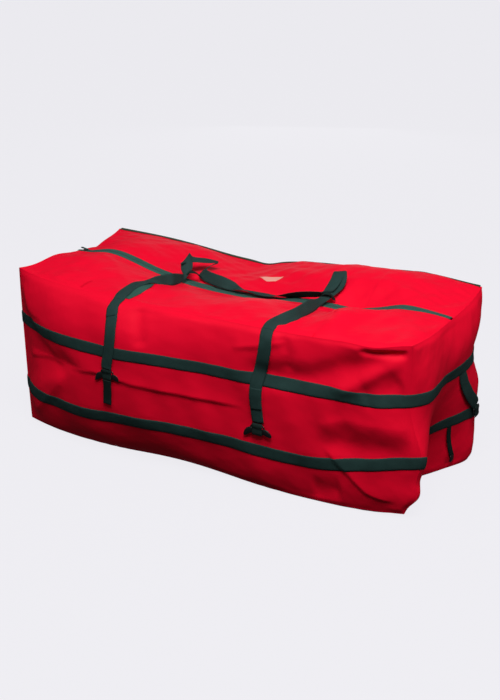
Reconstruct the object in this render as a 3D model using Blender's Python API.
"""Zip-top storage bag for an artificial Christmas tree, built piece by piece as it is sewn.

Frame: +X runs along the bag's length, to the right of someone who faces its front, -Y points
to the front and +Z up. The origin is on the floor under the middle of the bag.
"""
import math

import bmesh
import bpy
import numpy as np
from mathutils import Matrix, Vector
from mathutils.bvhtree import BVHTree

# Driving dimensions, in metres
LENGTH = 1.35
DEPTH = 0.54
HEIGHT = 0.51
CORNER_LIFT = 0.020
FABRIC = 0.003
WEBBING_WIDTH = 0.038
WEBBING = 0.0020
GAP = 0.0003

# Heights of the two bands, as fractions of a wall's height, and half their width
UPPER_BAND = 0.686
LOWER_BAND = 0.245
HALF_BAND = 0.5 * WEBBING_WIDTH / HEIGHT

# Zip: between the end seams it sags along one arc, which the slider follows
ZIP_LOW = 0.474
ZIP_SAG = 0.064
ZIP_RADIUS = 0.5 * ((0.5 * LENGTH) ** 2 / ZIP_SAG + ZIP_SAG)
FLAP_REACH = 0.585
ZIP_END = 0.636
SLOT_HALF = 0.010
TAPE_HALF = 0.024

# Left end of the top, drawn in by its own weight
LEFT_CAVE = 0.030

# Lines about which the halves of the top and the carrying handles turn, as y and z
FRONT_HALF_HINGE = (-0.350, 0.499)
REAR_HALF_HINGE = (0.350, 0.499)
FRONT_HANDLE_HINGE = (-0.343, 0.542)
REAR_HANDLE_HINGE = (0.386, 0.486)

RED = (0.60, 0.004, 0.022, 1.0)
GREEN = (0.017, 0.052, 0.050, 1.0)
BLACK = (0.012, 0.012, 0.013, 1.0)
CREAM = (0.80, 0.42, 0.40, 1.0)
STEEL = (0.30, 0.30, 0.31, 1.0)


def clear_scene():
    """Start from an empty scene."""
    for item in list(bpy.data.objects):
        bpy.data.objects.remove(item, do_unlink=True)


def new_collection(name):
    """Return a fresh collection linked to the scene."""
    collection = bpy.data.collections.new(name)
    bpy.context.scene.collection.children.link(collection)
    return collection


def material(name, colour, roughness, metallic=0.0):
    """Make a plain Principled material."""
    made = bpy.data.materials.new(name)
    made.use_nodes = True
    shader = made.node_tree.nodes["Principled BSDF"]
    shader.inputs["Base Color"].default_value = colour
    shader.inputs["Roughness"].default_value = roughness
    shader.inputs["Metallic"].default_value = metallic
    made.diffuse_color = colour
    return made


clear_scene()
BAG = new_collection("christmas_tree_storage_bag")
CUTTERS = new_collection("cutters")


def add_object(name, mesh, finish, collection=BAG):
    """Link a mesh to a collection under a node's name, with its finish, shaded smooth."""
    made = bpy.data.objects.new(name, mesh)
    if finish is not None:
        mesh.materials.append(finish)
    collection.objects.link(made)
    mesh.shade_smooth()
    mesh.set_sharp_from_angle(angle=math.radians(35))
    return made


# The sewn box: eight ears and the twelve seams between them

def ear(x_side, y_side, z_side, shift=(0.0, 0.0, 0.0)):
    """Corner of the sewn box; each side is -1 or +1, and shift is how far the ear is pulled."""
    base = (0.5 * LENGTH * x_side, 0.5 * DEPTH * y_side, CORNER_LIFT + 0.5 * HEIGHT * (1 + z_side))
    return np.array(base) + np.array(shift)


def seam(start, end, bow, power=3.0, kinks=()):
    """Seam from one ear to another: a straight line that bows by a vector in its middle.

    The bow fades to the ears as 1 - |2t - 1| ** power. Each kink (place, width, vector) adds a
    bell-shaped pull around that fraction of the seam.
    """
    def curve(t):
        t = np.asarray(t, dtype=float)[..., None]
        swell = 1.0 - np.abs(2.0 * t - 1.0) ** power
        point = (1.0 - t) * start + t * end + swell * np.array(bow)
        for place, width, pull in kinks:
            point = point + swell * np.exp(-((t - place) / width) ** 2) * np.array(pull)
        return point
    return curve


# Pulls on single seams, as place along the seam, width and vector
REAR_DIP = (0.41, 0.13, (0.0, 0.0, -0.022))
FRONT_RIGHT_PUSH = (0.33, 0.20, (0.045, 0.0, 0.0))
REAR_RIGHT_PINCH = (0.72, 0.10, (-0.030, 0.0, 0.0))

FRONT_LEFT_FOOT = ear(-1, -1, -1)
FRONT_RIGHT_FOOT = ear(1, -1, -1, (0.0, 0.008, -0.008))
REAR_LEFT_FOOT = ear(-1, 1, -1)
REAR_RIGHT_FOOT = ear(1, 1, -1, (0.011, -0.035, -0.012))
FRONT_LEFT_TOP = ear(-1, -1, 1)
FRONT_RIGHT_TOP = ear(1, -1, 1)
REAR_LEFT_TOP = ear(-1, 1, 1)
REAR_RIGHT_TOP = ear(1, 1, 1)

FRONT_BOTTOM = seam(FRONT_LEFT_FOOT, FRONT_RIGHT_FOOT, (0.0, -0.045, -0.008), 4.0)
REAR_BOTTOM = seam(REAR_LEFT_FOOT, REAR_RIGHT_FOOT, (0.0, 0.045, -0.006), 4.0)
LEFT_BOTTOM = seam(FRONT_LEFT_FOOT, REAR_LEFT_FOOT, (-0.012, 0.0, -0.006))
RIGHT_BOTTOM = seam(FRONT_RIGHT_FOOT, REAR_RIGHT_FOOT, (-0.035, 0.0, -0.002))
FRONT_TOP = seam(FRONT_LEFT_TOP, FRONT_RIGHT_TOP, (0.0, -0.057, -0.012), 4.0)
REAR_TOP = seam(REAR_LEFT_TOP, REAR_RIGHT_TOP, (0.0, 0.045, -0.020), 4.0, [REAR_DIP])
LEFT_TOP = seam(FRONT_LEFT_TOP, REAR_LEFT_TOP, (LEFT_CAVE, 0.0, -0.008))
RIGHT_TOP = seam(FRONT_RIGHT_TOP, REAR_RIGHT_TOP, (0.0, 0.0, -0.002))
FRONT_LEFT = seam(FRONT_LEFT_FOOT, FRONT_LEFT_TOP, (-0.003, 0.0, 0.0))
FRONT_RIGHT = seam(FRONT_RIGHT_FOOT, FRONT_RIGHT_TOP, (0.0, 0.0, 0.0), 3.0, [FRONT_RIGHT_PUSH])
REAR_LEFT = seam(REAR_LEFT_FOOT, REAR_LEFT_TOP, (-0.003, 0.0, 0.0))
REAR_RIGHT = seam(REAR_RIGHT_FOOT, REAR_RIGHT_TOP, (0.010, 0.0, 0.0), 3.0, [REAR_RIGHT_PINCH])


def patch(south, north, west, east, u, v, fade):
    """Cloth between four seams, u from west to east and v from south to north.

    The flat ruling of the four corners, plus how far each seam strays from its own chord. The
    stray of south and north is shared out evenly between them; that of west and east dies away
    as the power fade of the distance from its seam.
    """
    u = u[..., None]
    v = v[..., None]

    def stray(curve, t):
        return curve(t[..., 0]) - (1 - t) * curve(0.0) - t * curve(1.0)

    ruling = ((1 - u) * (1 - v) * south(0.0) + u * (1 - v) * south(1.0)
              + (1 - u) * v * north(0.0) + u * v * north(1.0))
    return (ruling + (1 - v) * stray(south, u) + v * stray(north, u)
            + (1 - u) ** fade * stray(west, v) + u ** fade * stray(east, v))


def pillow(t, power):
    """Swelling profile over 0 to 1: nothing at both seams and one in the middle."""
    return 1.0 - np.abs(2.0 * t - 1.0) ** power


def bell(value, centre, width):
    """Bell curve of a bulge or a dent around centre."""
    return np.exp(-((value - centre) / width) ** 2)


def front_wall(u, v):
    """Front wall: it swells most left of the middle, where the contents press on it."""
    point = patch(FRONT_BOTTOM, FRONT_TOP, FRONT_LEFT, FRONT_RIGHT, u, v, 12)
    side = 2.0 * u - 1.0
    belly = pillow(u, 6) * (0.038 - 0.030 * side + 0.025 * bell(point[..., 0], -0.20, 0.22))
    point[..., 1] -= belly * pillow(v, 4)
    point[..., 2] += 0.010 * pillow(u, 4) * pillow(v, 2)
    return point


def rear_wall(u, v):
    """Rear wall: an even belly along its length."""
    point = patch(REAR_BOTTOM, REAR_TOP, REAR_LEFT, REAR_RIGHT, u, v, 12)
    point[..., 1] += 0.055 * pillow(u, 6) * pillow(v, 4)
    return point


def left_wall(u, v):
    """Left end wall, u from front to rear: a rounded belly."""
    point = patch(LEFT_BOTTOM, LEFT_TOP, FRONT_LEFT, REAR_LEFT, u, v, 3)
    point[..., 0] -= 0.045 * pillow(u, 4) * pillow(v, 4)
    return point


def right_wall(u, v):
    """Right end wall, u from front to rear: full above, drawn in low down beside the front ear."""
    point = patch(RIGHT_BOTTOM, RIGHT_TOP, FRONT_RIGHT, REAR_RIGHT, u, v, 3)
    swell = 0.030 + 0.020 * bell(v, 0.75, 0.25) - 0.060 * bell(u, 0.35, 0.30) * bell(v, 0.10, 0.30)
    point[..., 0] += swell * pillow(u, 4) * pillow(v, 4)
    return point


def floor_panel(u, v):
    """Bottom panel, v from front to rear: flat where the bag rests, turned up to the four seams."""
    point = patch(FRONT_BOTTOM, REAR_BOTTOM, LEFT_BOTTOM, RIGHT_BOTTOM, u, v, 12)
    point[..., 2] = np.maximum(0.0, point[..., 2] - 0.035 * pillow(u, 8) * pillow(v, 8))
    return point


# The top: two halves that slope to the tape of the zip

def zip_height(x):
    """Height of the zip's line at x: an arc of ZIP_RADIUS, lowest in the middle."""
    return ZIP_LOW + ZIP_RADIUS - np.sqrt(ZIP_RADIUS ** 2 - np.asarray(x) ** 2)


END_FADE = 40


def beside_zip(y):
    """Line of cloth along the zip, at the distance y from its middle, from end seam to end seam."""
    share = 0.5 + y / DEPTH
    start = LEFT_TOP(share)
    end = RIGHT_TOP(share)

    def curve(t):
        t = np.asarray(t, dtype=float)
        x = (2.0 * t - 1.0) * 0.5 * LENGTH + (start[..., 0] + 0.5 * LENGTH) * (1.0 - t) ** END_FADE
        z = (zip_height(x) + (start[..., 2] - zip_height(start[..., 0])) * (1.0 - t) ** END_FADE
             + (end[..., 2] - zip_height(end[..., 0])) * t ** END_FADE)
        return np.stack([x, y + 0.0 * x, z], axis=-1)
    return curve


def part_of(curve, low, high):
    """The stretch of a seam between two of its fractions."""
    return lambda t: curve(low + (high - low) * np.asarray(t, dtype=float))


TAPE_SHARE = TAPE_HALF / DEPTH
SLOT_SHARE = SLOT_HALF / DEPTH


def top_cloth(u, v):
    """Top, v from front to rear: each half rises in a low puff between its long seam and the zip."""
    front_share = 0.5 - TAPE_SHARE
    front = patch(FRONT_TOP, beside_zip(-TAPE_HALF), part_of(LEFT_TOP, 0.0, front_share),
                  part_of(RIGHT_TOP, 0.0, front_share), u, np.clip(v / front_share, 0, 1), 12)
    front[..., 2] += 0.016 * pillow(u, 6) * pillow(np.clip(v / front_share, 0, 1), 2)
    w = np.clip((v - 1.0 + front_share) / front_share, 0, 1)
    rear = patch(beside_zip(TAPE_HALF), REAR_TOP, part_of(LEFT_TOP, 1.0 - front_share, 1.0),
                 part_of(RIGHT_TOP, 1.0 - front_share, 1.0), u, w, 12)
    rear[..., 2] += (0.014 - 0.010 * bell(rear[..., 0], -0.10, 0.15)) * pillow(u, 6) * pillow(w, 2)
    rear[..., 2] += 0.038 * bell(rear[..., 0], 0.34, 0.22) * pillow(u, 8) * np.clip(4 * w * (1 - w), 0, 1)
    point = np.where((v <= front_share + 1e-9)[..., None], front, rear)
    slot = (v > front_share + 1e-9) & (v < 1.0 - front_share - 1e-9)
    return np.where(slot[..., None], beside_zip((v - 0.5) * DEPTH)(u), point)


# Columns and rows of every panel, shared so that neighbours meet point to point

def mirrored(half):
    """Fractions up to one half, and their mirror images."""
    return np.array(half + [1.0 - t for t in reversed(half) if t < 0.5])


FLAP_SHARE = 0.5 - FLAP_REACH / LENGTH
ZIP_STOP_SHARE = 0.5 - ZIP_END / LENGTH
X_SHARES = mirrored([0.0, ZIP_STOP_SHARE, FLAP_SHARE, 0.10, 0.145, 0.20, 0.26, 0.32, 0.38, 0.44, 0.5])
Y_SHARES = mirrored([0.0, 0.07, 0.17, 0.28, 0.38, 0.5 - TAPE_SHARE, 0.5 - SLOT_SHARE])
Z_SHARES = np.array([0.0, 0.05, 0.12, LOWER_BAND - HALF_BAND, LOWER_BAND + HALF_BAND, 0.40, 0.53,
                     UPPER_BAND - HALF_BAND, UPPER_BAND + HALF_BAND, 0.84, 0.93, 1.0])
MIDDLE = np.array((0.0, 0.0, CORNER_LIFT + 0.5 * HEIGHT))


def sheet(shape, columns, rows):
    """Grid of points of a surface, columns first, with unit normals that point out of the bag."""
    u, v = np.meshgrid(columns, rows, indexing="ij")
    points = shape(u, v)
    normals = np.cross(np.gradient(points, axis=0), np.gradient(points, axis=1))
    normals /= np.linalg.norm(normals, axis=-1, keepdims=True)
    if np.sum(normals * (points - MIDDLE)) < 0:
        normals = -normals
    return points, normals


SHEETS = {
    "front": sheet(front_wall, X_SHARES, Z_SHARES),
    "rear": sheet(rear_wall, X_SHARES, Z_SHARES),
    "left": sheet(left_wall, Y_SHARES, Z_SHARES),
    "right": sheet(right_wall, Y_SHARES, Z_SHARES),
    "bottom": sheet(floor_panel, X_SHARES, Y_SHARES),
    "top": sheet(top_cloth, X_SHARES, Y_SHARES),
}


def mitre_directions():
    """For each sheet, the step that moves every sheet meeting at a point by one unit along its normal."""
    meeting = {}
    for points, normals in SHEETS.values():
        for point, normal in zip(points.reshape(-1, 3), normals.reshape(-1, 3)):
            meeting.setdefault(tuple(np.round(point, 6)), []).append(normal)
    steps = {}
    for name, (points, normals) in SHEETS.items():
        flat = [np.linalg.pinv(np.array(meeting[tuple(np.round(point, 6))]), rcond=0.15)
                @ np.ones(len(meeting[tuple(np.round(point, 6))])) for point in points.reshape(-1, 3)]
        steps[name] = np.array(flat).reshape(points.shape)
    return steps


MITRES = mitre_directions()


def shell_mesh(name, outer, inner, cells):
    """Closed mesh between an outer and an inner grid, over the cells that are True."""
    columns, rows = outer.shape[:2]
    index = np.arange(columns * rows).reshape(columns, rows)
    used = np.argwhere(cells)
    kept = {(i, j) for i, j in used}
    faces = []
    for i, j in kept:
        square = [index[i, j], index[i + 1, j], index[i + 1, j + 1], index[i, j + 1]]
        faces.append(square)
        faces.append([k + columns * rows for k in reversed(square)])
        sides = (((i, j - 1), 0, 1), ((i + 1, j), 1, 2), ((i, j + 1), 2, 3), ((i - 1, j), 3, 0))
        for beyond, a, b in sides:
            if beyond not in kept:
                faces.append([square[b], square[a], square[a] + columns * rows, square[b] + columns * rows])
    mesh = bpy.data.meshes.new(name)
    points = np.concatenate([outer.reshape(-1, 3), inner.reshape(-1, 3)])
    mesh.from_pydata(points.tolist(), [], [[int(k) for k in face] for face in faces])
    tidy = bmesh.new()
    tidy.from_mesh(mesh)
    bmesh.ops.delete(tidy, geom=[vert for vert in tidy.verts if not vert.link_faces], context="VERTS")
    bmesh.ops.recalc_face_normals(tidy, faces=tidy.faces)
    tidy.to_mesh(mesh)
    tidy.free()
    return mesh


def draw_in(points, cells):
    """Small step of each rim point towards the cells it belongs to, which leaves GAP to a neighbour."""
    columns, rows = points.shape[:2]
    centres = 0.25 * (points[:-1, :-1] + points[1:, :-1] + points[1:, 1:] + points[:-1, 1:])
    total = np.zeros_like(points)
    count = np.zeros((columns, rows))
    for di in (0, 1):
        for dj in (0, 1):
            total[di:columns - 1 + di, dj:rows - 1 + dj] += np.where(cells[..., None], centres, 0.0)
            count[di:columns - 1 + di, dj:rows - 1 + dj] += cells
    rim = (count > 0) & (count < 4)
    inward = np.where(rim[..., None], total / np.maximum(count, 1)[..., None] - points, 0.0)
    size = np.maximum(np.linalg.norm(inward, axis=-1, keepdims=True), 1e-9)
    return inward / size * np.where(count == 1, 2.2, 1.0)[..., None] * GAP


def panel(node, name, finish, cells=None, thickness=FABRIC):
    """Cloth panel of a sheet: mitred to its neighbours at the seams, over the cells that are True."""
    points = SHEETS[name][0]
    if cells is None:
        cells = np.ones((points.shape[0] - 1, points.shape[1] - 1), dtype=bool)
    step = draw_in(points, cells)
    mesh = shell_mesh(node, points + step, points - thickness * MITRES[name] + step, cells)
    return add_object(node, mesh, finish)


POLYESTER = material("red polyester", RED, 0.62)
STRAP = material("green polypropylene webbing", GREEN, 0.70)
TAPE = material("green zip tape", GREEN, 0.75)
NYLON = material("nylon coil", (0.010, 0.035, 0.033, 1.0), 0.45)
PLASTIC = material("black acetal", BLACK, 0.35)
METAL = material("painted zinc", STEEL, 0.35, 0.9)
LABEL_CLOTH = material("pale label cloth", CREAM, 0.80)

panel("front_panel", "front", POLYESTER)
panel("rear_panel", "rear", POLYESTER)
panel("left_end_panel", "left", POLYESTER)
panel("right_end_panel", "right", POLYESTER)
panel("bottom_panel", "bottom", POLYESTER)


# Cells of the top: the halves that open, and the strips beyond the ends of the zip

def top_cells():
    """Cells of each piece of the top cloth, as masks over its grid."""
    centre_x = 0.5 * (X_SHARES[1:] + X_SHARES[:-1])[:, None]
    centre_y = 0.5 * (Y_SHARES[1:] + Y_SHARES[:-1])[None, :]
    opening = (centre_x > FLAP_SHARE) & (centre_x < 1 - FLAP_SHARE)
    between_stops = (centre_x > ZIP_STOP_SHARE) & (centre_x < 1 - ZIP_STOP_SHARE)
    slot = between_stops & (np.abs(centre_y - 0.5) < SLOT_SHARE)
    return {
        "top_front_panel": opening & (centre_y < 0.5 - SLOT_SHARE),
        "top_rear_panel": opening & (centre_y > 0.5 + SLOT_SHARE),
        "top_left_strip": (centre_x < FLAP_SHARE) & ~slot,
        "top_right_strip": (centre_x > 1 - FLAP_SHARE) & ~slot,
    }


HALF_HINGES = {"front": (0.0,) + FRONT_HALF_HINGE, "rear": (0.0,) + REAR_HALF_HINGE}


def pivot(made, origin):
    """Move an object's origin onto the line it turns about, leaving its shape where it is."""
    made.data.transform(Matrix.Translation(-Vector(origin)))
    made.location = origin


for node, cells in top_cells().items():
    made = panel(node, "top", POLYESTER, cells)
    half = node.split("_")[1]
    if half in HALF_HINGES:
        pivot(made, HALF_HINGES[half])


# Shapes shared by the webbing, the zip and the plastic

def loft(node, sections, finish, closed=False):
    """Closed mesh through equal sections of points, capped at both ends or joined into a ring."""
    sections = np.asarray(sections)
    count, corners = sections.shape[:2]
    faces = []
    for i in range(count if closed else count - 1):
        here = i * corners
        there = (i + 1) % count * corners
        for k in range(corners):
            m = (k + 1) % corners
            faces.append([here + k, here + m, there + m, there + k])
    if not closed:
        faces.append(list(reversed(range(corners))))
        faces.append(list(range((count - 1) * corners, count * corners)))
    mesh = bpy.data.meshes.new(node)
    mesh.from_pydata(sections.reshape(-1, 3).tolist(), [], faces)
    outward = bmesh.new()
    outward.from_mesh(mesh)
    bmesh.ops.recalc_face_normals(outward, faces=outward.faces)
    outward.to_mesh(mesh)
    outward.free()
    return add_object(node, mesh, finish)


def smooth_path(points, steps=4):
    """Catmull-Rom curve through points, with the given number of steps between neighbours."""
    points = np.asarray(points, dtype=float)
    padded = np.concatenate([2 * points[:1] - points[1:2], points, 2 * points[-1:] - points[-2:-1]])
    t = (np.arange(steps) / steps)[:, None]
    spans = []
    for i in range(len(points) - 1):
        a, b, c, d = padded[i:i + 4]
        spans.append(0.5 * (2 * b + (c - a) * t + (2 * a - 5 * b + 4 * c - d) * t ** 2
                            + (3 * b - a - 3 * c + d) * t ** 3))
    return np.concatenate(spans + [points[-1:]])


def unit(vectors):
    """The same directions with length one."""
    return vectors / np.linalg.norm(vectors, axis=-1, keepdims=True)


def ribbon(node, centres, facing, finish=STRAP, width=WEBBING_WIDTH, thickness=WEBBING):
    """Flat strap along a centre line, whose broad side looks along the facing direction."""
    along = unit(np.gradient(centres, axis=0))
    side = unit(np.cross(along, np.broadcast_to(facing, centres.shape)))
    face = np.cross(side, along)
    across = 0.5 * width * side
    through = 0.5 * thickness * face
    corners = (centres + across + through, centres - across + through,
               centres - across - through, centres + across - through)
    return loft(node, np.stack(corners, axis=1), finish)


def skin_tree():
    """Ray-casting tree of the bag's outer skin."""
    points = []
    faces = []
    for grid, _ in SHEETS.values():
        start = len(points)
        columns, rows = grid.shape[:2]
        points.extend(grid.reshape(-1, 3).tolist())
        for i in range(columns - 1):
            for j in range(rows - 1):
                corner = start + i * rows + j
                faces.append((corner, corner + rows, corner + rows + 1, corner + 1))
    return BVHTree.FromPolygons(points, faces)


SKIN = skin_tree()
INWARD = {"front": (0, 1, 0), "rear": (0, -1, 0), "left": (1, 0, 0), "right": (-1, 0, 0), "top": (0, 0, -1)}
FAR = 2.0


def off_skin(side, x, y, z, lift, spread=0.5 * WEBBING_WIDTH):
    """Point above the skin on one side of the bag, at least lift away from it over a strap's width."""
    inward = Vector(INWARD[side])
    across = Vector((0.0, 1.0, 0.0)) if side in ("left", "right") else Vector((1.0, 0.0, 0.0))
    reach = []
    for step in (-spread, 0.0, spread):
        start = Vector((x, y, z)) - inward * FAR + across * step
        hit = SKIN.ray_cast(start, inward)[3]
        if hit is not None:
            reach.append(hit)
    return np.array(Vector((x, y, z)) - inward * (FAR - min(reach) + lift))


def rounded(width, height, radius, centre=(0.0, 0.0), steps=3):
    """Outline of a rectangle with round corners."""
    outline = []
    for corner in range(4):
        side_x = (1, -1, -1, 1)[corner]
        side_y = (1, 1, -1, -1)[corner]
        for step in range(steps + 1):
            angle = math.radians(90.0 * (corner + step / steps))
            outline.append((centre[0] + side_x * (0.5 * width - radius) + radius * math.cos(angle),
                            centre[1] + side_y * (0.5 * height - radius) + radius * math.sin(angle)))
    return outline


def plate(node, outlines, thickness, place, finish):
    """Flat moulding: outlines filled as one 2D curve, extruded, and set in place by a matrix."""
    curve = bpy.data.curves.new(node, "CURVE")
    curve.dimensions = "2D"
    curve.fill_mode = "BOTH"
    curve.extrude = 0.5 * thickness
    for outline in outlines:
        spline = curve.splines.new("POLY")
        spline.points.add(len(outline) - 1)
        for point, (a, b) in zip(spline.points, outline):
            point.co = (a, b, 0.0, 1.0)
        spline.use_cyclic_u = True
    drawn = bpy.data.objects.new(node + "_outline", curve)
    CUTTERS.objects.link(drawn)
    mesh = bpy.data.meshes.new_from_object(drawn)
    bpy.data.objects.remove(drawn, do_unlink=True)
    mesh.name = node
    mesh.transform(place)
    mesh.materials.clear()
    welded = bmesh.new()
    welded.from_mesh(mesh)
    bmesh.ops.remove_doubles(welded, verts=welded.verts, dist=0.00001)
    bmesh.ops.recalc_face_normals(welded, faces=welded.faces)
    welded.to_mesh(mesh)
    welded.free()
    return add_object(node, mesh, finish)


# Bands: webbing sewn once round the four walls
BAND_GAP = 0.0011


def band(node, low_row, high_row):
    """Closed ring of webbing that lies on the walls between two rows of their grids."""
    forward = slice(0, -1)
    backward = slice(-1, 0, -1)
    around = (("front", forward), ("right", forward), ("rear", backward), ("left", backward))
    corners = []
    outer = BAND_GAP + WEBBING
    for row, height in ((low_row, outer), (high_row, outer), (high_row, BAND_GAP), (low_row, BAND_GAP)):
        pieces = [(SHEETS[name][0] + height * MITRES[name])[span, row] for name, span in around]
        corners.append(np.concatenate(pieces))
    return loft(node, np.stack(corners, axis=1), STRAP, closed=True)


band("lower_band", 3, 4)
band("upper_band", 7, 8)


# Binding of the rear top seam: a narrow tape sewn flat against the wall just below it
BINDING_WIDTH = 0.014
BINDING = 0.0015
BINDING_GAP = 0.0018
BINDING_DROP = 0.0085


def edge_binding():
    """Tape along the rear top seam, flat against the topmost strip of the rear wall."""
    points = SHEETS["rear"][0]
    seam_line = points[:, -1]
    down = unit(points[:, -2] - seam_line)
    along = unit(np.gradient(seam_line, axis=0))
    out = np.cross(along, down)
    out *= np.sign(out[:, 1:2])
    centres = seam_line + BINDING_DROP * down + (BINDING_GAP + 0.5 * BINDING) * out
    ribbon("rear_edge_binding", centres[1:-1], out[1:-1], STRAP, BINDING_WIDTH, BINDING)


edge_binding()


# Zip: tape and coil on each half, and their sewn ends on the end strips
TAPE_THICK = 0.0010
TAPE_INNER = 0.0042
COIL_INNER = 0.0011
COIL_OUTER = 0.0038
COIL_LOW = -0.0008
COIL_HIGH = 0.0018
GARAGE_HALF = 0.0085
OPENING_COLUMNS = X_SHARES[(X_SHARES >= FLAP_SHARE - 1e-9) & (X_SHARES <= 1 - FLAP_SHARE + 1e-9)]


def zip_bar(node, side, near, far, low, high, finish):
    """Bar of rectangular section along the zip of one half, side -1 in front and +1 behind."""
    line = beside_zip(0.0)(OPENING_COLUMNS)
    line[0, 0] += GAP
    line[-1, 0] -= GAP
    section = ((near, low), (far, low), (far, high), (near, high))
    corners = [line + np.array((0.0, side * y, z)) for y, z in section]
    return loft(node, np.stack(corners, axis=1), finish)


for half, side in (("front", -1), ("rear", 1)):
    tape = zip_bar("zip_tape_" + half, side, TAPE_INNER, TAPE_HALF - GAP, GAP, GAP + TAPE_THICK, TAPE)
    coil = zip_bar("zip_coil_" + half, side, COIL_INNER, COIL_OUTER, COIL_LOW, COIL_HIGH, NYLON)
    pivot(tape, HALF_HINGES[half])
    pivot(coil, HALF_HINGES[half])


def zip_end(node, columns):
    """Sewn end of the tape on an end strip, with an open garage in which the slider rests."""
    rows = np.array((-TAPE_HALF + GAP, -GARAGE_HALF, GARAGE_HALF, TAPE_HALF - GAP))
    line = beside_zip(0.0)(np.array(columns))
    grid = np.repeat(line[:, None, :], len(rows), axis=1)
    grid[..., 1] = rows
    cells = np.ones((2, 3), dtype=bool)
    garage = 1 if columns[2] < 0.5 else 0
    cells[garage, 1] = False
    up = np.array((0.0, 0.0, 1.0))
    return add_object(node, shell_mesh(node, grid + (GAP + TAPE_THICK) * up, grid + GAP * up, cells), TAPE)


SEAM_SHARE = 0.004
END_SHARE = FLAP_SHARE - GAP / LENGTH
zip_end("zip_end_left", (SEAM_SHARE, ZIP_STOP_SHARE, END_SHARE))
zip_end("zip_end_right", (1 - END_SHARE, 1 - ZIP_STOP_SHARE, 1 - SEAM_SHARE))


# Slider: two plates joined by a thin wedge between the coils, with a bail for the pull
SLIDER_REST = -0.612
SLIDER_LENGTH = 0.021
SLIDER_HALF = 0.0063
PLATE_LOW = -0.0030
CHANNEL_LOW = -0.0012
CHANNEL_HIGH = 0.0022
PLATE_HIGH = 0.0042
WEDGE_HALF = 0.0007
BAIL_RADIUS = 0.0045
BAIL_WIRE = 0.0009
BAIL_ROOT = 0.0012
PULL_LENGTH = 0.026
PULL_WIDTH = 0.009
PULL_THICK = 0.0012
ARC_CENTRE = (0.0, 0.0, ZIP_LOW + ZIP_RADIUS)


def box(name, low, high):
    """Box between two opposite corners, as a mesh."""
    low = Vector(low)
    high = Vector(high)
    solid = bmesh.new()
    bmesh.ops.create_cube(solid, size=1.0)
    bmesh.ops.scale(solid, vec=high - low, verts=solid.verts)
    bmesh.ops.translate(solid, vec=0.5 * (low + high), verts=solid.verts)
    mesh = bpy.data.meshes.new(name)
    solid.to_mesh(mesh)
    solid.free()
    return mesh


def apply_boolean(made, cutter_mesh, operation):
    """Combine an object with another mesh by an exact boolean, and keep the result as its mesh."""
    other = bpy.data.objects.new(cutter_mesh.name, cutter_mesh)
    CUTTERS.objects.link(other)
    step = made.modifiers.new(operation, "BOOLEAN")
    step.operation = operation
    step.solver = "EXACT"
    step.object = other
    bpy.context.view_layer.update()
    depsgraph = bpy.context.evaluated_depsgraph_get()
    result = bpy.data.meshes.new_from_object(made.evaluated_get(depsgraph))
    made.modifiers.remove(step)
    made.data = result
    bpy.data.objects.remove(other, do_unlink=True)


def bail_mesh():
    """Half-round wire loop that stands on the slider's top plate."""
    curve = bpy.data.curves.new("bail", "CURVE")
    curve.dimensions = "3D"
    curve.bevel_depth = BAIL_WIRE
    curve.bevel_resolution = 1
    curve.use_fill_caps = True
    spline = curve.splines.new("POLY")
    steps = 8
    spline.points.add(steps)
    for step, point in enumerate(spline.points):
        angle = math.pi * step / steps
        rise = PLATE_HIGH - BAIL_ROOT + BAIL_RADIUS * math.sin(angle)
        point.co = (BAIL_RADIUS * math.cos(angle), 0.0, rise, 1.0)
    drawn = bpy.data.objects.new("bail", curve)
    CUTTERS.objects.link(drawn)
    mesh = bpy.data.meshes.new_from_object(drawn)
    bpy.data.objects.remove(drawn, do_unlink=True)
    welded = bmesh.new()
    welded.from_mesh(mesh)
    bmesh.ops.remove_doubles(welded, verts=welded.verts, dist=0.00001)
    bmesh.ops.recalc_face_normals(welded, faces=welded.faces)
    welded.to_mesh(mesh)
    welded.free()
    return mesh


def slider():
    """Slider at rest in its garage at the left end, turned to the slope of the zip there."""
    half = 0.5 * SLIDER_LENGTH
    body = box("zip_slider", (-half, -SLIDER_HALF, PLATE_LOW), (half, SLIDER_HALF, PLATE_HIGH))
    made = add_object("zip_slider", body, METAL)
    for side in (-1, 1):
        near = side * WEDGE_HALF
        far = side * 2 * SLIDER_HALF
        low = (-2 * half, min(near, far), CHANNEL_LOW)
        high = (2 * half, max(near, far), CHANNEL_HIGH)
        apply_boolean(made, box("channel", low, high), "DIFFERENCE")
    apply_boolean(made, bail_mesh(), "UNION")
    tilt = math.asin(SLIDER_REST / ZIP_RADIUS)
    height = float(zip_height(SLIDER_REST))
    made.data.transform(Matrix.Translation((SLIDER_REST, 0.0, height)) @ Matrix.Rotation(-tilt, 4, "Y"))
    made.data.name = "zip_slider"
    pivot(made, ARC_CENTRE)
    return tilt, height


SLIDER_TILT, SLIDER_Z = slider()

# Pull: a flat tag whose crossbar lies under the bail, with one leg of the bail through its eye
PULL_RISE = 0.0054
PULL_BAR = 0.0010
PULL_EYE = 0.0046
PULL_AXIS = (SLIDER_REST - math.sin(SLIDER_TILT) * PULL_RISE, 0.0,
             SLIDER_Z + math.cos(SLIDER_TILT) * PULL_RISE)
PULL_EYE_WIDTH = 0.0052
pull_outline = rounded(PULL_LENGTH, PULL_WIDTH, 0.003, (PULL_BAR - 0.5 * PULL_LENGTH, 0.0))
pull_hole = rounded(PULL_EYE, PULL_EYE_WIDTH, 0.0010, (-PULL_BAR - 0.5 * PULL_EYE, 0.0))
pull_place = Matrix.Translation(PULL_AXIS) @ Matrix.Rotation(-SLIDER_TILT, 4, "Y")
pivot(plate("zip_pull", (pull_outline, pull_hole), PULL_THICK, pull_place, METAL), PULL_AXIS)


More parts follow.
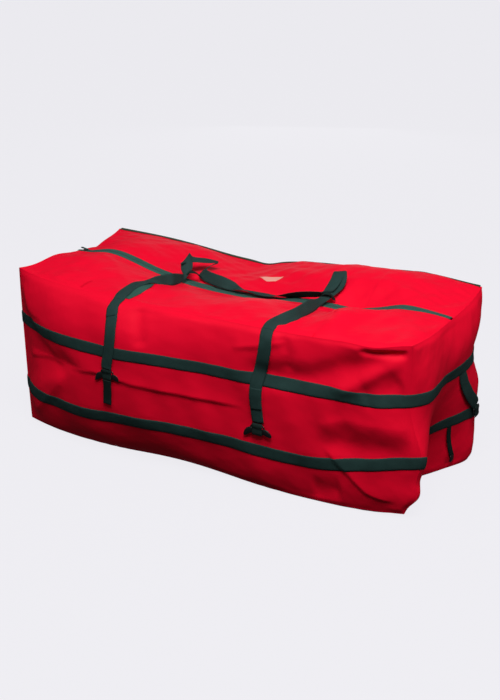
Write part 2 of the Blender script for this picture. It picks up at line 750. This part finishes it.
# Handles: free loops of webbing, each turning about the line of its long top edge
HANDLE_LIFT = 0.006
FRONT_HANDLE_PATH = (
    (-0.240, -0.3415, 0.5425), (-0.250, -0.280, 0.542), (-0.245, -0.200, 0.541), (-0.228, -0.130, 0.540),
    (-0.216, -0.050, 0.530), (-0.236, 0.030, 0.516), (-0.262, 0.100, 0.525), (-0.252, 0.156, 0.530),
    (-0.208, 0.158, 0.530), (-0.176, 0.105, 0.520), (-0.132, 0.050, 0.506), (-0.062, 0.022, 0.493),
    (0.020, 0.012, 0.490), (0.100, 0.016, 0.495), (0.165, 0.040, 0.510), (0.200, 0.092, 0.528),
    (0.218, 0.148, 0.550), (0.252, 0.170, 0.560), (0.281, 0.132, 0.556), (0.289, 0.060, 0.540),
    (0.281, -0.030, 0.522), (0.275, -0.130, 0.537), (0.280, -0.210, 0.541), (0.278, -0.285, 0.542),
    (0.272, -0.3415, 0.5425),
)
REAR_HANDLE_PATH = (
    (-0.262, 0.0, -0.0015), (-0.255, 0.0, -0.060), (-0.236, 0.0, -0.130), (-0.218, 0.0, -0.210),
    (-0.200, 0.0, -0.275), (-0.160, 0.0, -0.318), (-0.090, 0.0, -0.330), (0.0, 0.0, -0.332),
)


def front_handle():
    """Front loop, thrown back over the top: both legs cross the zip and the grip folds forward again."""
    path = smooth_path(FRONT_HANDLE_PATH, 3)
    for point in path[4:-4]:
        point[2] = max(point[2], off_skin("top", point[0], point[1], 0.0, HANDLE_LIFT)[2])
    made = ribbon("front_handle", path, (0.0, 0.0, 1.0))
    pivot(made, (0.0,) + FRONT_HANDLE_HINGE)


def rear_handle():
    """Rear loop, which hangs down behind the bag."""
    half = np.array(REAR_HANDLE_PATH)
    whole = np.concatenate([half, half[-2::-1] * (-1, 1, 1)]) + np.array((0.0,) + REAR_HANDLE_HINGE)
    made = ribbon("rear_handle", smooth_path(whole, 3), (0.0, 1.0, 0.0))
    pivot(made, (0.0,) + REAR_HANDLE_HINGE)


front_handle()
rear_handle()


# Legs: fixed lower parts of the handles, sewn down where they cross the upper band
LEG_ON_BAND = BAND_GAP + 1.5 * WEBBING + 0.0008
LEG_TOP_DROP = {"front": 0.0175, "rear": 0.009}
LEG_TOP_OUT = {"front": 0.0105, "rear": -0.006}
BUCKLE_WIDTH = 0.048
BUCKLE_HEIGHT = 0.030
BUCKLE_HALF = ((0.021, 0.015), (0.030, 0.005), (0.042, -0.006), (0.047, -0.014), (0.041, -0.0185),
               (0.030, -0.0165), (0.018, -0.0142), (0.0, -0.0135))
BUCKLE_REACH = 0.047
BUCKLE_THICK = 0.0036
BUCKLE_DROP = 0.0165
SLOT_LENGTH = 0.041
SLOT_WIDTH = 0.0036
SLOT_RISE = 0.0065
BUCKLE_LIFT = 0.5 * BUCKLE_THICK + 3 * GAP
BUCKLE_SPAN = (0.0, 0.018, 0.036)
TAIL_WIDTH = 0.032
TAIL_LENGTH = 0.085
BAND_MARGIN = 0.006
LEG_LEAN = 0.004
AXIS_DROP = 0.0024
UPPER_ROWS = (7, 8)


def band_height(side, x):
    """Height of the middle of the upper band on a long wall."""
    grid = SHEETS[side][0]
    middle = 0.5 * (grid[:, UPPER_ROWS[0]] + grid[:, UPPER_ROWS[1]])
    return float(np.interp(x, middle[:, 0], middle[:, 2]))


def outermost(side, x, heights, lift, spread=0.5 * WEBBING_WIDTH):
    """Distance from the long middle plane that clears a long wall at several heights."""
    return max(abs(off_skin(side, x, 0.0, z, lift, spread)[1]) for z in heights)


def leg(node, side, x_top, x_low, z_low, hinge):
    """Strap from just below the hinge line, over the upper band and down to its buckle."""
    sign = -1.0 if side == "front" else 1.0
    z_band = band_height(side, x_low)
    half = 0.5 * WEBBING_WIDTH + BAND_MARGIN
    y_band = outermost(side, x_low, (z_band - half, z_band, z_band + half), LEG_ON_BAND)
    buckle_heights = [z_low - drop for drop in BUCKLE_SPAN]
    y_low = max(outermost(side, x_low, buckle_heights, BUCKLE_LIFT, BUCKLE_REACH), y_band - LEG_LEAN)
    y_top = abs(hinge[0]) + LEG_TOP_OUT[side]
    z_top = hinge[1] - LEG_TOP_DROP[side]
    bulge = max(y_band, 0.5 * (y_band + y_top))
    points = ((x_top, sign * y_top, z_top), (x_top, sign * bulge, 0.5 * (z_top + z_band) + 0.015),
              (0.5 * (x_top + x_low), sign * y_band, z_band + half), (x_low, sign * y_band, z_band - half),
              (x_low, sign * y_low, z_low))
    path = smooth_path(points, 3)
    ribbon(node, path, (0.0, sign, 0.0))
    return path[-1]


WINGED = list(BUCKLE_HALF) + [(-a, b) for a, b in reversed(BUCKLE_HALF[:-1])]
PLAIN = rounded(BUCKLE_WIDTH, BUCKLE_HEIGHT, 0.004)


def buckle(node, outline, place, axis_point):
    """Three-bar slide, which turns about the upper edge where the strap enters it."""
    outlines = [outline]
    for rise in (-SLOT_RISE, SLOT_RISE):
        outlines.append(rounded(SLOT_LENGTH, SLOT_WIDTH, 0.0016, (0.0, rise), 2))
    pivot(plate(node, outlines, BUCKLE_THICK, place, PLASTIC), axis_point)


def upright(side):
    """Rotation that stands a plate up against one side of the bag, its upper edge at the top."""
    turn = {"front": 0.0, "rear": 180.0, "left": -90.0, "right": 90.0}[side]
    return Matrix.Rotation(math.radians(turn), 4, "Z") @ Matrix.Rotation(math.radians(90.0), 4, "X")


def hang_buckle(prefix, outline, side, end, tail_length):
    """Buckle below a strap's end, with a loose tail hanging from it when tail_length is not zero."""
    axis_point = end - (0.0, 0.0, AXIS_DROP)
    centre = axis_point - (0.0, 0.0, BUCKLE_DROP)
    buckle(prefix + "_buckle", outline, Matrix.Translation(centre) @ upright(side), axis_point)
    if tail_length:
        top = centre - (0.0, 0.0, 0.5 * BUCKLE_HEIGHT + 2 * GAP)
        drop = np.linspace(0.0, tail_length, 5)[:, None] * (0.0, 0.0, -1.0)
        made = ribbon(prefix + "_tail", top + drop, -np.array(INWARD[side], dtype=float), STRAP, TAIL_WIDTH)
        pivot(made, axis_point)


LEGS = (
    ("front", "left", -0.240, -0.252, 0.316, FRONT_HANDLE_HINGE, TAIL_LENGTH),
    ("front", "right", 0.272, 0.244, 0.232, FRONT_HANDLE_HINGE, 0.0),
    ("rear", "left", -0.262, -0.285, 0.252, REAR_HANDLE_HINGE, TAIL_LENGTH),
    ("rear", "right", 0.262, 0.285, 0.252, REAR_HANDLE_HINGE, 0.0),
)
for side, hand, x_top, x_low, z_low, hinge, tail_length in LEGS:
    end = leg(side + "_leg_" + hand, side, x_top, x_low, z_low, hinge)
    hang_buckle(side + "_" + hand, WINGED, side, end, tail_length)


# End straps: short uprights from the upper band to a buckle that hangs over the lower one
END_SLACK = 0.003
END_STRAP = ((0.040, 0.385), (0.058, 0.330), (0.108, 0.268), (0.151, 0.228), (0.156, 0.212), (0.156, 0.200))
END_TAIL = ((0.070, 0.112), (0.073, 0.085), (0.077, 0.058))
END_TAIL_WIDTH = 0.016
STOP_SIZE = (0.030, 0.024, 0.006)
STOP_LIFT = 0.007
STOP_DROP = 0.003


def end_strap(side):
    """Upright strap of an end wall and its buckle, and the narrow tail and stop at the bottom edge."""
    outward = -np.array(INWARD[side], dtype=float)
    points = [off_skin(side, 0.0, y, z, LEG_ON_BAND + END_SLACK) for y, z in END_STRAP]
    path = smooth_path(points, 3)
    ribbon(side + "_end_strap", path, outward)
    hang_buckle(side + "_end", PLAIN, side, path[-1], 0.0)
    tail = smooth_path([off_skin(side, 0.0, y, z, END_SLACK, END_TAIL_WIDTH) for y, z in END_TAIL], 2)
    ribbon(side + "_end_tail", tail, outward, STRAP, END_TAIL_WIDTH)
    y, z = END_TAIL[-1]
    low = off_skin(side, 0.0, y, z - 0.5 * STOP_SIZE[1], STOP_LIFT, 0.5 * STOP_SIZE[0])
    place = Matrix.Translation(low - (0.0, 0.0, STOP_DROP)) @ upright(side)
    plate(side + "_end_stop", [rounded(STOP_SIZE[0], STOP_SIZE[1], 0.004)], STOP_SIZE[2], place, PLASTIC)


end_strap("right")
end_strap("left")


# Label: a bare patch sewn to the rear half of the top
LABEL_X = (-0.025, 0.065)
LABEL_Y = (0.078, 0.138)
LABEL_THICK = 0.0008
LABEL_LIFT = 0.0026


def label():
    """Thin patch laid on the rear half of the top."""
    x = np.linspace(LABEL_X[0], LABEL_X[1], 6)
    y = np.linspace(LABEL_Y[0], LABEL_Y[1], 4)
    low = np.array([[off_skin("top", a, b, 0.0, LABEL_LIFT, 0.002) for b in y] for a in x])
    high = low + (0.0, 0.0, LABEL_THICK)
    cells = np.ones((len(x) - 1, len(y) - 1), dtype=bool)
    patch_mesh = shell_mesh("label_patch", high, low, cells)
    pivot(add_object("label_patch", patch_mesh, LABEL_CLOTH), HALF_HINGES["rear"])


label()
CUTTERS.hide_render = True
